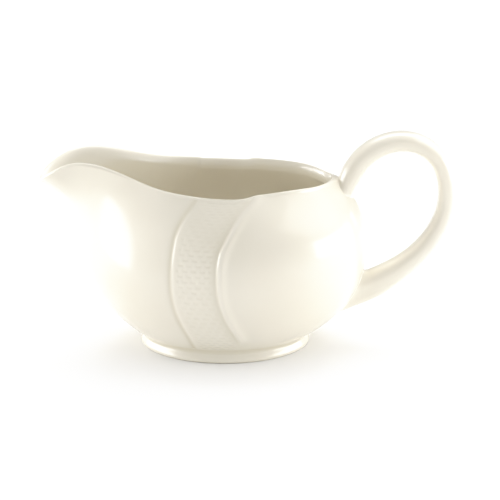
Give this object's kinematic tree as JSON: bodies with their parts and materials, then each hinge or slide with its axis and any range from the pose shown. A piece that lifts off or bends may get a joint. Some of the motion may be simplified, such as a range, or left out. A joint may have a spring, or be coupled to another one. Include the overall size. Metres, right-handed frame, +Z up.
{
  "type": "gravy boat",
  "caption": "Oval porcelain gravy boat with a pouring spout, a loop handle and an oval foot ring.",
  "frame": {"origin": "on the table, under the middle of the overall box", "axes": "+X along the length towards the handle, with the spout at -X; +Y to the left of someone who looks along +X; +Z up"},
  "size_m": [0.207, 0.0968, 0.1089],
  "materials": {
    "bowl_glaze": "glossy cream glaze",
    "foot_glaze": "glossy cream glaze with an unglazed rim underneath",
    "handle_glaze": "glossy cream glaze",
    "joint_glaze": "glossy cream glaze over the slip"
  },
  "bodies": {
    "root": {"bowl": "bowl_glaze", "foot_ring": "foot_glaze", "handle": "handle_glaze", "upper_handle_joint": "joint_glaze", "lower_handle_joint": "joint_glaze"}
  },
  "joints": []
}
